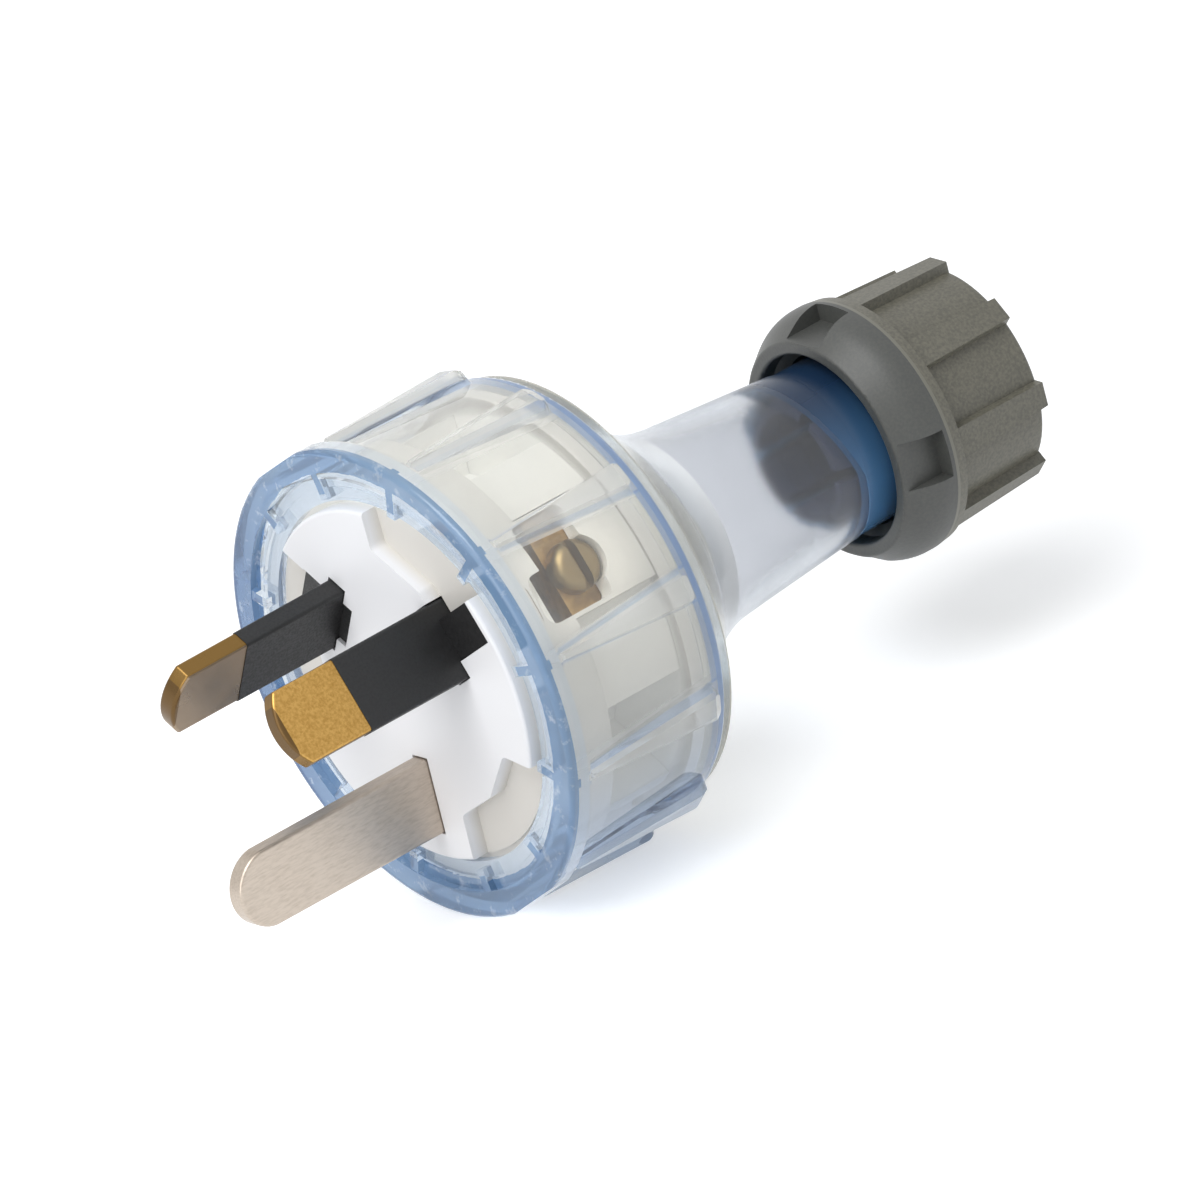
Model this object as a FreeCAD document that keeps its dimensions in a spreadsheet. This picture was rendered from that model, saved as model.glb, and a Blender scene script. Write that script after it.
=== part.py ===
# Three-pin mains plug with a clear ribbed drum, a clear neck and a screwed cord gland.
# Millimetres. Every piece is drawn about its own Z axis, with the engaging face of the plug
# at Z = 0 and the pins towards +Z. It is then laid down, so that the pins point along +X,
# the earth pin is lowest, and the plug lies on the ribs of its drum.
import FreeCAD, Part
import math
import os

import Sketcher
from FreeCAD import Placement, Rotation, Vector

SIZES = (
    # Pins, to the standard pattern of a flat-pin 10 A plug
    ("pin_width", 6.35),
    ("pin_thickness", 1.63),
    ("live_pin_reach", 17.06),
    ("earth_pin_reach", 19.94),
    ("live_pin_offset", 7.92),
    ("earth_pin_offset", 10.31),
    ("pattern_rise", 0.9),
    ("live_tip_radius", 5.0),
    ("earth_tip_radius", 3.2),
    ("pin_edge_radius", 0.28),
    ("pin_shoulder", 5.3),
    ("tang_width", 3.0),
    ("tang_depth", 4.5),
    ("tang_gap", 0.5),
    ("pin_count", 3),
    # Insulating sleeves of the two live pins
    ("sleeve_reach", 9.9),
    ("sleeve_root", 2.6),
    ("sleeve_wall", 0.45),
    ("sleeve_proud", 0.06),
    ("active_foot_inset", 1.15),
    ("neutral_foot_inset", 3.35),
    ("outer_foot_width", 3.5),
    ("inner_foot_end", 6.0),
    ("inner_foot_width", 3.8),
    ("foot_depth", 1.5),
    ("foot_drop", 0.25),
    # White base that carries the pins
    ("flange_gap", 0.2),
    ("plateau_step", 2.45),
    ("plateau_height", 1.7),
    ("plateau_corner", 0.3),
    ("flange_rear", 6.1),
    ("side_step", 1.1),
    ("carrier_rear", 14.4),
    ("recess_depth", 1.5),
    ("recess_corner", 0.7),
    ("recess_turn", 4.4),
    ("recess_back_offset", 5.8),
    ("recess_back_side", 9.2),
    ("recess_rim_offset", 7.6),
    ("recess_rim_side", 12.6),
    ("earth_recess_start", 11.4),
    ("earth_recess_side", 3.7),
    ("earth_recess_turn", 9.0),
    ("earth_recess_turn_side", 8.0),
    ("earth_recess_back", 4.9),
    ("earth_recess_back_side", 11.0),
    ("chamber_radius", 5.4),
    ("chamber_roof", 9.0),
    ("pad_side", 0.35),
    ("window_front", 5.3),
    ("window_rear", 10.2),
    ("window_low", 3.3),
    ("window_high", 4.8),
    ("window_corner", 0.6),
    ("window_tongue", 3.7),
    ("tongue_high", 0.9),
    ("tongue_corner", 1.0),
    ("hollow_depth", 7.9),
    ("hollow_width", 11.0),
    # White cover behind the base, with the spigot that leads the cord
    ("cover_thickness", 1.3),
    ("cover_corner", 0.2),
    ("spigot_radius", 7.0),
    ("spigot_wall", 1.5),
    ("spigot_end", 27.8),
    ("spigot_root", 1.5),
    # Brass terminals and their screws
    ("terminal_inner", 6.3),
    ("terminal_sink", 2.5),
    ("terminal_front", 7.0),
    ("terminal_low", 3.8),
    ("terminal_high", 5.2),
    ("terminal_length", 6.4),
    ("terminal_corner", 0.5),
    ("wire_bore", 3.4),
    ("wire_bore_inset", 3.2),
    ("wire_bore_depth", 5.6),
    ("screw_line", 8.95),
    ("screw_shank", 3.0),
    ("screw_head", 4.2),
    ("screw_head_height", 1.9),
    ("screw_corner", 1.0),
    ("screw_reach", 1.7),
    ("driver_gap", 0.15),
    ("slot_width", 0.8),
    ("slot_depth", 1.2),
    # Clear drum
    ("drum_radius", 19.8),
    ("drum_wall", 2.3),
    ("drum_rear", 17.1),
    ("band_width", 2.0),
    ("band_step", 0.5),
    ("band_corner", 0.45),
    ("panel_front_drop", 0.7),
    ("panel_rear_drop", 1.3),
    ("rim_drop", 1.35),
    ("lip_gap", 0.45),
    ("lip_front", 0.6),
    ("lip_ledge", 1.25),
    ("ledge_drop", 0.3),
    ("flat_depth", 0.3),
    ("flat_count", 2),
    ("rib_count", 12),
    ("rib_rise", 0.15),
    ("rib_end", 16.2),
    ("rib_fall_start", 14.8),
    ("rib_fall", 0.6),
    ("rib_front_width", 1.8),
    ("rib_rear_width", 3.8),
    ("rib_corner", 1.3),
    ("rib_draft", 20.0),
    ("rib_root", 0.3),
    ("tooth_width", 0.9),
    ("tooth_inset", 0.4),
    # Clear neck with the ring that closes the drum behind the cover
    ("ring_width", 2.2),
    ("shoulder_rim", 1.1),
    ("shoulder_inset", 1.7),
    ("shoulder_drop", 1.4),
    ("neck_start", 25.6),
    ("neck_radius", 8.6),
    ("neck_end_radius", 7.15),
    ("neck_flare", 11.0),
    ("thread_start", 42.0),
    ("thread_radius", 7.0),
    ("neck_end", 52.4),
    ("throat_radius", 5.85),
    ("throat_start", 37.0),
    # Grey grip collet in the neck's throat
    ("collet_bore", 4.3),
    ("collet_front", 40.6),
    ("collet_nose", 0.6),
    ("finger_count", 6),
    ("finger_gap", 1.1),
    ("finger_length", 9.5),
    ("grip_pitch", 1.8),
    ("grip_count", 5),
    ("grip_depth", 0.35),
    # Grey gland nut
    ("nut_front", 43.8),
    ("nut_rear", 58.4),
    ("nut_mouth_radius", 8.0),
    ("nut_lip_radius", 9.05),
    ("nut_lip_corner", 0.3),
    ("nut_bell_radius", 10.65),
    ("bell_corner", 4.0),
    ("bell_lead", 2.4),
    ("bell_edge", 48.0),
    ("bell_taper", 0.15),
    ("bell_rear", 49.1),
    ("bell_step", 0.3),
    ("barrel_front_radius", 9.35),
    ("barrel_rear_radius", 8.9),
    ("nut_cap", 2.1),
    ("nut_corner", 0.4),
    ("mouth_lead", 0.7),
    ("cord_hole_radius", 4.6),
    ("nut_thread_start", 46.0),
    ("notch_count", 4),
    ("notch_width", 4.0),
    ("notch_end", 47.6),
    ("nut_rib_count", 8),
    ("nut_rib_front", 10.2),
    ("nut_rib_rear", 9.7),
    ("nut_rib_front_width", 2.6),
    ("nut_rib_rear_width", 2.0),
    # Clearances
    ("fit", 0.1),
    ("seat_gap", 0.05),
    ("running_gap", 0.3),
    ("forward_travel", 0.75),
)

LIVE_ANGLES = (("active", 30), ("neutral", 150))
PIN_ANGLES = (("active", 30), ("neutral", 150), ("earth", 270))
DRUM_TURN = 15
FLAT_ANGLE = 105
HOLLOW_TURN = 60

# Radii that follow from the drum's, from the outside inwards
DRUM_BORE = "(Sizes.drum_radius - Sizes.drum_wall)"
FLANGE = "(%s - Sizes.flange_gap)" % DRUM_BORE
CARRIER = "(%s - Sizes.side_step)" % FLANGE
PLATEAU = "(%s - Sizes.plateau_step)" % FLANGE
LIP_BORE = "(%s + Sizes.lip_gap)" % PLATEAU
TERMINAL_OUTER = "(%s - Sizes.terminal_sink)" % FLANGE
WIRE_BORE_OFFSET = "(%s - Sizes.wire_bore_inset)" % TERMINAL_OUTER
COVER_REAR = "(Sizes.carrier_rear + Sizes.cover_thickness)"
EARTH_TANG_OUTER = "(%s - Sizes.screw_reach - Sizes.tang_gap)" % TERMINAL_OUTER
LYING = Rotation(Vector(1, 1, 1), 120)

doc = FreeCAD.newDocument("mains_plug")
sheet = doc.addObject("Spreadsheet::Sheet", "Sizes")
for row, (alias, value) in enumerate(SIZES, start=1):
    sheet.set("A%d" % row, alias)
    sheet.set("B%d" % row, str(value))
    sheet.setAlias("B%d" % row, alias)
doc.recompute()


# Sketch and feature helpers


def bind(sketch, constraint, size):
    index = sketch.addConstraint(constraint)
    sketch.setExpression("Constraints[%d]" % index, size)


def new_body(name, angle=None):
    # A body is laid down; one of the pin pattern is first turned to its pin's direction.
    body = doc.addObject("PartDesign::Body", name)
    if angle is None:
        body.Placement = Placement(Vector(0, 0, 0), LYING)
    else:
        body.Placement = Placement(Vector(0, 0, 0), LYING * Rotation(Vector(0, 0, 1), angle))
        body.setExpression("Placement.Base.z", "Sizes.pattern_rise")
    return body


def new_sketch(body, name, role, height="0", turn=0, rise="0"):
    # The sketch lies on one of the body's origin planes, raised along its normal.
    sketch = body.newObject("Sketcher::SketchObject", name)
    plane = [feature for feature in body.Origin.OriginFeatures if feature.Role == role][0]
    sketch.AttachmentSupport = [(plane, "")]
    sketch.MapMode = "FlatFace"
    sketch.AttachmentOffset = Placement(Vector(0, 0, 0), Rotation(Vector(0, 0, 1), turn))
    sketch.setExpression("AttachmentOffset.Base.z", height)
    sketch.setExpression("AttachmentOffset.Base.y", rise)
    return sketch


def corner_points(sketch, corners):
    # Construction points hold the corners of an outline at their bound places.
    first = sketch.GeometryCount
    for index, corner in enumerate(corners):
        guess = Vector(1 + index, 2 + index * index, 0)
        point = sketch.addGeometry(Part.Point(guess), True)
        bind(sketch, Sketcher.Constraint("DistanceX", -1, 1, point, 1, guess.x), corner[0])
        bind(sketch, Sketcher.Constraint("DistanceY", -1, 1, point, 1, guess.y), corner[1])
    doc.recompute()
    points = range(first, first + len(corners))
    return [(point, sketch.getPoint(point, 1)) for point in points]


def add_outline(sketch, corners, bulge=None):
    # A closed outline through corners (across, along[, radius]); a radius rounds its corner.
    # The edge after corner bulge[0] is an arc of radius bulge[1] that bows outwards.
    held = corner_points(sketch, corners)
    count = len(corners)
    ends = [rounded_corner(held, index, corner) for index, corner in enumerate(corners)]
    edges = []
    for index in range(count):
        start = ends[index][1]
        end = ends[(index + 1) % count][0]
        edge = Part.LineSegment(start, end)
        if bulge and bulge[0] == index:
            edge = bowed_edge(start, end, size_value(bulge[1]))
        edges.append(sketch.addGeometry(edge, False))
        if bulge and bulge[0] == index:
            radius = size_value(bulge[1])
            bind(sketch, Sketcher.Constraint("Radius", edges[-1], radius), bulge[1])
    for index, corner in enumerate(corners):
        point = held[index][0]
        before = edges[index - 1]
        after = edges[index]
        if ends[index][2] is None:
            join(sketch, before, point, held[index][1])
            join(sketch, after, point, held[index][1])
            continue
        arc = sketch.addGeometry(ends[index][2], False)
        swapped = sketch.getPoint(arc, 1).distanceToPoint(ends[index][0]) > 1e-6
        first, last = (2, 1) if swapped else (1, 2)
        sketch.addConstraint(Sketcher.Constraint("PointOnObject", point, 1, before))
        sketch.addConstraint(Sketcher.Constraint("PointOnObject", point, 1, after))
        sketch.addConstraint(Sketcher.Constraint("Tangent", before, 2, arc, first))
        sketch.addConstraint(Sketcher.Constraint("Tangent", after, 1, arc, last))
        bind(sketch, Sketcher.Constraint("Radius", arc, size_value(corner[2])), corner[2])


def size_value(size):
    return getattr(sheet, size.replace("Sizes.", ""))


def rounded_corner(held, index, corner):
    # Where the edges beside a corner end, with the arc between them if it is rounded.
    place = held[index][1]
    if len(corner) < 3:
        return (place, place, None)
    radius = size_value(corner[2])
    before = (held[index - 1][1] - place).normalize()
    after = (held[(index + 1) % len(held)][1] - place).normalize()
    half = before.getAngle(after) / 2
    middle = (before + after).normalize()
    start = place + before * (radius / math.tan(half))
    end = place + after * (radius / math.tan(half))
    top = place + middle * (radius / math.sin(half) - radius)
    return (start, end, Part.Arc(start, top, end))


def bowed_edge(start, end, radius):
    chord = end - start
    outwards = Vector(chord.y, -chord.x, 0).normalize()
    rise = radius - math.sqrt(radius ** 2 - (chord.Length / 2) ** 2)
    return Part.Arc(start, (start + end) / 2 + outwards * rise, end)


def join(sketch, edge, point, place):
    # Joins the end of the edge that lies at the place to the held point there.
    nearest = 1 if sketch.getPoint(edge, 1).distanceToPoint(place) < 1e-6 else 2
    sketch.addConstraint(Sketcher.Constraint("Coincident", edge, nearest, point, 1))


def add_circle(sketch, radius, across="0", along="0"):
    circle = sketch.addGeometry(Part.Circle(Vector(1, 1, 0), Vector(0, 0, 1), 2), False)
    bind(sketch, Sketcher.Constraint("Radius", circle, 2), radius)
    bind(sketch, Sketcher.Constraint("DistanceX", -1, 1, circle, 3, 1), across)
    bind(sketch, Sketcher.Constraint("DistanceY", -1, 1, circle, 3, 1), along)


def add_box(sketch, left, right, low, high):
    add_outline(sketch, ((left, low), (right, low), (right, high), (left, high)))


def turned(body, name, corners, cut=False):
    # The outline (radius, height) is turned once round the body's Z axis.
    sketch = new_sketch(body, name + "_outline", "XZ_Plane")
    add_outline(sketch, corners)
    kind = "PartDesign::Groove" if cut else "PartDesign::Revolution"
    feature = body.newObject(kind, name)
    feature.Profile = sketch
    feature.ReferenceAxis = (sketch, ["V_Axis"])
    doc.recompute()
    return feature


def pad(body, name, sketch, length, backwards=False, both_ways=False):
    feature = body.newObject("PartDesign::Pad", name)
    feature.Profile = sketch
    feature.Reversed = backwards
    if both_ways:
        feature.SideType = "Symmetric"
    feature.setExpression("Length", length)
    doc.recompute()
    return feature


def pocket(body, name, sketch, length, outwards=False):
    # A pocket that removes nothing points away from its body, which is a mistake.
    before = body.Shape.Volume
    feature = body.newObject("PartDesign::Pocket", name)
    feature.Profile = sketch
    feature.Reversed = outwards
    feature.setExpression("Length", length)
    doc.recompute()
    if feature.Shape.isNull() or feature.Shape.Volume > before - 1e-6:
        raise RuntimeError(body.Label + ": " + name + " removes nothing")
    return feature


def repeat(body, name, features, count, axis_sketch, axis="N_Axis"):
    pattern = body.newObject("PartDesign::PolarPattern", name)
    pattern.Originals = features
    pattern.Axis = (axis_sketch, [axis])
    pattern.Angle = 360
    pattern.setExpression("Occurrences", count)
    body.Tip = pattern
    doc.recompute()
    return pattern


def round_edges(body, name, radius, wanted):
    # Rounds the edges of the body's last feature that the test picks.
    tip = body.Tip
    names = ["Edge%d" % index for index, edge in enumerate(tip.Shape.Edges, 1) if wanted(edge)]
    feature = body.newObject("PartDesign::Fillet", name)
    feature.Base = (tip, names)
    feature.setExpression("Radius", radius)
    doc.recompute()
    return feature


# Clear pieces


def make_drum():
    body = new_body("clear_drum")
    body.Placement = Placement(Vector(0, 0, 0), LYING * Rotation(Vector(0, 0, 1), DRUM_TURN))
    lip_rear = "-Sizes.plateau_height + Sizes.seat_gap"
    ledge_front = "-Sizes.lip_front - Sizes.ledge_drop"
    turned(body, "wall", (
        (DRUM_BORE, "0"),
        ("Sizes.drum_radius", "0", "Sizes.band_corner"),
        ("Sizes.drum_radius", "-Sizes.band_width"),
        ("Sizes.drum_radius - Sizes.panel_front_drop", "-Sizes.band_width - Sizes.band_step"),
        ("Sizes.drum_radius - Sizes.panel_rear_drop", "-Sizes.rib_end"),
        ("Sizes.drum_radius - Sizes.rim_drop", "-Sizes.drum_rear", "Sizes.band_corner"),
        (DRUM_BORE, "-Sizes.drum_rear"),
        (DRUM_BORE, lip_rear),
        (LIP_BORE, lip_rear),
        (LIP_BORE, ledge_front),
        (LIP_BORE + " + Sizes.lip_ledge", ledge_front),
        (LIP_BORE + " + Sizes.lip_ledge", "-Sizes.lip_front"),
        (DRUM_BORE, "-Sizes.lip_front"),
    ))
    sketch = new_sketch(body, "flat_outline", "XY_Plane", turn=FLAT_ANGLE)
    add_box(sketch, "Sizes.drum_radius - Sizes.flat_depth", "Sizes.drum_radius + Sizes.band_width",
            "-Sizes.drum_radius / 2", "Sizes.drum_radius / 2")
    flat = pocket(body, "flat", sketch, "Sizes.band_width + Sizes.band_step")
    repeat(body, "flats", [flat], "Sizes.flat_count", sketch)
    root = DRUM_BORE + " + Sizes.rib_root"
    sketch = new_sketch(body, "rib_outline", "YZ_Plane", height=root)
    add_outline(sketch, (
        ("-Sizes.rib_front_width / 2", "-Sizes.band_width + Sizes.band_step"),
        ("-Sizes.rib_rear_width / 2", "-Sizes.rib_end", "Sizes.rib_corner"),
        ("Sizes.rib_rear_width / 2", "-Sizes.rib_end", "Sizes.rib_corner"),
        ("Sizes.rib_front_width / 2", "-Sizes.band_width + Sizes.band_step"),
    ))
    rib = pad(body, "rib", sketch, "Sizes.drum_radius + Sizes.rib_rise - (%s)" % root)
    rib.setExpression("TaperAngle", "-Sizes.rib_draft * 1 deg")
    doc.recompute()
    sketch = new_sketch(body, "tooth_outline", "XY_Plane", height="-Sizes.seat_gap")
    add_box(sketch, LIP_BORE + " + Sizes.tooth_inset", DRUM_BORE + " + Sizes.rib_root",
            "-Sizes.tooth_width / 2", "Sizes.tooth_width / 2")
    tooth = pad(body, "tooth", sketch, "Sizes.lip_front + Sizes.ledge_drop", backwards=True)
    repeat(body, "ribs", [rib, tooth], "Sizes.rib_count", sketch)
    outside = "Sizes.drum_radius + Sizes.band_width"
    turned(body, "rib_fall", (
        ("Sizes.drum_radius + Sizes.rib_rise", "-Sizes.rib_fall_start"),
        (outside, "-Sizes.rib_fall_start"),
        (outside, "-Sizes.rib_end - Sizes.fit"),
        ("Sizes.drum_radius - Sizes.rib_fall", "-Sizes.rib_end - Sizes.fit"),
    ), cut=True)
    return body


def make_neck():
    body = new_body("clear_neck")
    ring = DRUM_BORE + " - Sizes.fit"
    ring_inside = ring + " - Sizes.ring_width"
    ring_front = "-%s - Sizes.seat_gap" % COVER_REAR
    shoulder = "Sizes.drum_radius - Sizes.shoulder_inset"
    shoulder_front = "-Sizes.drum_rear - Sizes.seat_gap"
    shoulder_rear = "-Sizes.drum_rear - Sizes.shoulder_rim"
    turned(body, "wall", (
        (ring_inside, ring_front),
        (ring, ring_front),
        (ring, shoulder_front),
        (shoulder, shoulder_front),
        (shoulder, shoulder_rear, "Sizes.band_corner"),
        (ring, shoulder_rear),
        ("Sizes.neck_radius", "-Sizes.neck_start", "Sizes.neck_flare"),
        ("Sizes.neck_end_radius", "-Sizes.thread_start"),
        ("Sizes.thread_radius", "-Sizes.thread_start"),
        ("Sizes.thread_radius", "-Sizes.neck_end"),
        ("Sizes.throat_radius", "-Sizes.neck_end"),
        ("Sizes.throat_radius", "-Sizes.throat_start"),
        ("Sizes.spigot_radius + Sizes.fit", "-Sizes.spigot_end - Sizes.running_gap"),
        ("Sizes.spigot_radius + Sizes.fit", "-Sizes.neck_start + Sizes.shoulder_drop"),
        (ring_inside, "-Sizes.drum_rear - Sizes.running_gap"),
    ))
    return body


# White pieces


def pattern_sketch(body, name, angle, height="0"):
    # The sketch's origin is the centre of the pin pattern and its X points along the angle.
    return new_sketch(body, name, "XY_Plane", height, angle, "Sizes.pattern_rise")


def radial_sketch(body, name, angle, distance):
    # The sketch faces outwards from the pattern's centre; its X is tangential, its Y is Z.
    sketch = new_sketch(body, name, "YZ_Plane")
    sketch.AttachmentOffset = Placement(Vector(0, 0, 0), Rotation(Vector(0, 1, 0), angle))
    sketch.setExpression("AttachmentOffset.Base.x",
                         "Sizes.pattern_rise + %s * sin(%d deg)" % (distance, angle))
    sketch.setExpression("AttachmentOffset.Base.z", "%s * cos(%d deg)" % (distance, angle))
    return sketch


def make_base():
    body = new_body("pin_base")
    turned(body, "moulding", (
        ("0", "0"),
        (PLATEAU, "0", "Sizes.plateau_corner"),
        (PLATEAU, "-Sizes.plateau_height"),
        (FLANGE, "-Sizes.plateau_height"),
        (FLANGE, "-Sizes.flange_rear"),
        (CARRIER, "-Sizes.flange_rear"),
        (CARRIER, "-Sizes.carrier_rear"),
        ("0", "-Sizes.carrier_rear"),
    ))
    add_window_pads(body)
    cut_terminal_wells(body)
    cut_pin_slots(body)
    cut_face_recesses(body)
    return body


def add_window_pads(body):
    # Round each terminal's window the side wall stands out as far as the flange.
    first = PIN_ANGLES[0][1]
    outside = "%s + Sizes.plateau_height" % FLANGE
    sketch = pattern_sketch(body, "pad_outline", first, "-Sizes.flange_rear")
    add_box(sketch, TERMINAL_OUTER, outside, "-Sizes.window_low - Sizes.pad_side",
            "Sizes.window_high + Sizes.pad_side")
    window_pad = pad(body, "window_pad", sketch, "Sizes.carrier_rear - Sizes.flange_rear",
                     backwards=True)
    repeat(body, "window_pads", [window_pad], "Sizes.pin_count", sketch)
    turned(body, "pad_trim", (
        (FLANGE, "-Sizes.flange_rear + Sizes.fit"),
        (outside + " + Sizes.flange_rear", "-Sizes.flange_rear + Sizes.fit"),
        (outside + " + Sizes.flange_rear", "-Sizes.carrier_rear - Sizes.fit"),
        (FLANGE, "-Sizes.carrier_rear - Sizes.fit"),
    ), cut=True)


def cut_terminal_wells(body):
    # Three times there are a well, its side window with a driver hole, and a hollow
    # between two wells.
    first = PIN_ANGLES[0][1]
    outside = "%s + Sizes.plateau_height" % FLANGE
    sketch = pattern_sketch(body, "well_outline", first, "-Sizes.pin_shoulder")
    add_box(sketch, "Sizes.chamber_radius - Sizes.cover_thickness", TERMINAL_OUTER + " + Sizes.fit",
            "-Sizes.terminal_low - Sizes.fit", "Sizes.terminal_high + Sizes.fit")
    well = pocket(body, "well", sketch, "Sizes.carrier_rear - Sizes.pin_shoulder + Sizes.fit")
    axis_sketch = sketch
    sketch = radial_sketch(body, "window_outline", first, TERMINAL_OUTER)
    add_outline(sketch, (
        ("-Sizes.window_low", "-Sizes.window_tongue", "Sizes.tongue_corner"),
        ("-Sizes.window_low", "-Sizes.window_rear", "Sizes.window_corner"),
        ("Sizes.window_high", "-Sizes.window_rear", "Sizes.window_corner"),
        ("Sizes.window_high", "-Sizes.window_front", "Sizes.window_corner"),
        ("Sizes.tongue_high", "-Sizes.window_front"),
        ("Sizes.tongue_high", "-Sizes.window_tongue", "Sizes.tongue_corner"),
    ))
    window = pocket(body, "window", sketch, FLANGE, outwards=True)
    sketch = radial_sketch(body, "driver_outline", first, TERMINAL_OUTER)
    add_circle(sketch, "Sizes.screw_head / 2 + Sizes.driver_gap", along="-Sizes.screw_line")
    driver = pocket(body, "driver_hole", sketch, FLANGE, outwards=True)
    sketch = pattern_sketch(body, "hollow_outline", first - HOLLOW_TURN, "-Sizes.flange_rear")
    add_box(sketch, FLANGE + " - Sizes.hollow_depth", outside,
            "-Sizes.hollow_width / 2", "Sizes.hollow_width / 2")
    hollow = pocket(body, "hollow", sketch, "Sizes.carrier_rear - Sizes.flange_rear + Sizes.fit")
    repeat(body, "wells", [well, window, driver, hollow], "Sizes.pin_count", axis_sketch)
    sketch = pattern_sketch(body, "chamber_outline", 0, "-Sizes.chamber_roof")
    add_circle(sketch, "Sizes.chamber_radius")
    pocket(body, "chamber", sketch, "Sizes.carrier_rear - Sizes.chamber_roof + Sizes.fit")


def foot_end(name):
    return "(%s - Sizes.%s_foot_inset)" % (PLATEAU, name)


def cut_pin_slots(body):
    through = "Sizes.pin_shoulder + Sizes.fit"
    half_width = "Sizes.pin_width / 2 + Sizes.fit"
    half_thickness = "Sizes.pin_thickness / 2 + Sizes.fit"
    for name, angle in LIVE_ANGLES:
        sketch = pattern_sketch(body, name + "_slot_outline", angle)
        add_box(sketch, "Sizes.live_pin_offset - (%s)" % half_thickness,
                "Sizes.live_pin_offset + " + half_thickness, "-(%s)" % half_width, half_width)
        pocket(body, name + "_slot", sketch, through)
        sketch = pattern_sketch(body, name + "_sleeve_outline", angle)
        add_box(sketch, "Sizes.live_pin_offset - Sizes.sleeve_proud - (%s)" % half_thickness,
                "Sizes.live_pin_offset + Sizes.sleeve_proud + " + half_thickness,
                "-Sizes.sleeve_proud - (%s)" % half_width, "Sizes.sleeve_proud + " + half_width)
        pocket(body, name + "_sleeve_seat", sketch, "Sizes.sleeve_root")
        sketch = pattern_sketch(body, name + "_outer_foot_outline", angle)
        add_box(sketch, "Sizes.live_pin_offset", foot_end(name) + " + Sizes.fit",
                "-Sizes.outer_foot_width / 2 - Sizes.fit", "Sizes.outer_foot_width / 2 + Sizes.fit")
        pocket(body, name + "_outer_foot_seat", sketch, "Sizes.foot_depth")
        sketch = pattern_sketch(body, name + "_inner_foot_outline", angle)
        add_box(sketch, "Sizes.inner_foot_end - Sizes.fit", "Sizes.live_pin_offset",
                "-Sizes.inner_foot_width / 2 - Sizes.fit", "Sizes.inner_foot_width / 2 + Sizes.fit")
        pocket(body, name + "_inner_foot_seat", sketch, "Sizes.foot_depth")
    sketch = pattern_sketch(body, "earth_slot_outline", PIN_ANGLES[2][1])
    add_box(sketch, "Sizes.earth_pin_offset - (%s)" % half_width,
            "Sizes.earth_pin_offset + " + half_width, "-(%s)" % half_thickness, half_thickness)
    pocket(body, "earth_slot", sketch, through)


def cut_face_recesses(body):
    # Each pin has a shallow recess on its anticlockwise side, open at the plateau's edge.
    outside = FLANGE
    inner = "Sizes.live_pin_offset + Sizes.pin_thickness / 2"
    side = "Sizes.outer_foot_width / 2"
    for name, angle in LIVE_ANGLES:
        sketch = pattern_sketch(body, name + "_recess_outline", angle)
        add_outline(sketch, (
            (inner, side),
            (outside, side),
            (outside, "Sizes.recess_rim_side"),
            ("Sizes.recess_rim_offset", "Sizes.recess_rim_side"),
            ("Sizes.recess_back_offset", "Sizes.recess_back_side", "Sizes.recess_corner"),
            (inner, "Sizes.recess_turn", "Sizes.recess_corner"),
        ))
        pocket(body, name + "_recess", sketch, "Sizes.recess_depth")
    sketch = pattern_sketch(body, "neutral_end_outline", LIVE_ANGLES[1][1])
    add_box(sketch, foot_end("neutral"), outside, "-" + side, side)
    pocket(body, "neutral_end", sketch, "Sizes.recess_depth")
    sketch = pattern_sketch(body, "earth_recess_outline", PIN_ANGLES[2][1])
    add_outline(sketch, (
        (outside, "Sizes.earth_recess_side"),
        (outside, outside),
        ("Sizes.recess_back_offset", outside),
        ("Sizes.earth_recess_back", "Sizes.earth_recess_back_side", "Sizes.recess_corner"),
        ("Sizes.earth_recess_turn", "Sizes.earth_recess_turn_side", "Sizes.recess_corner"),
        ("Sizes.earth_recess_start", "Sizes.earth_recess_side", "Sizes.recess_corner"),
    ))
    pocket(body, "earth_recess", sketch, "Sizes.recess_depth")


def make_cover():
    body = new_body("terminal_cover")
    bore = "Sizes.spigot_radius - Sizes.spigot_wall"
    cover_front = "-Sizes.carrier_rear - Sizes.seat_gap"
    cover_rear = "-" + COVER_REAR
    turned(body, "moulding", (
        (bore, cover_front),
        (FLANGE, cover_front, "Sizes.cover_corner"),
        (FLANGE, cover_rear),
        ("Sizes.spigot_radius", cover_rear, "Sizes.spigot_root"),
        ("Sizes.spigot_radius", "-Sizes.spigot_end"),
        (bore, "-Sizes.spigot_end"),
    ))
    return body


# Pins with their sleeves


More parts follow.
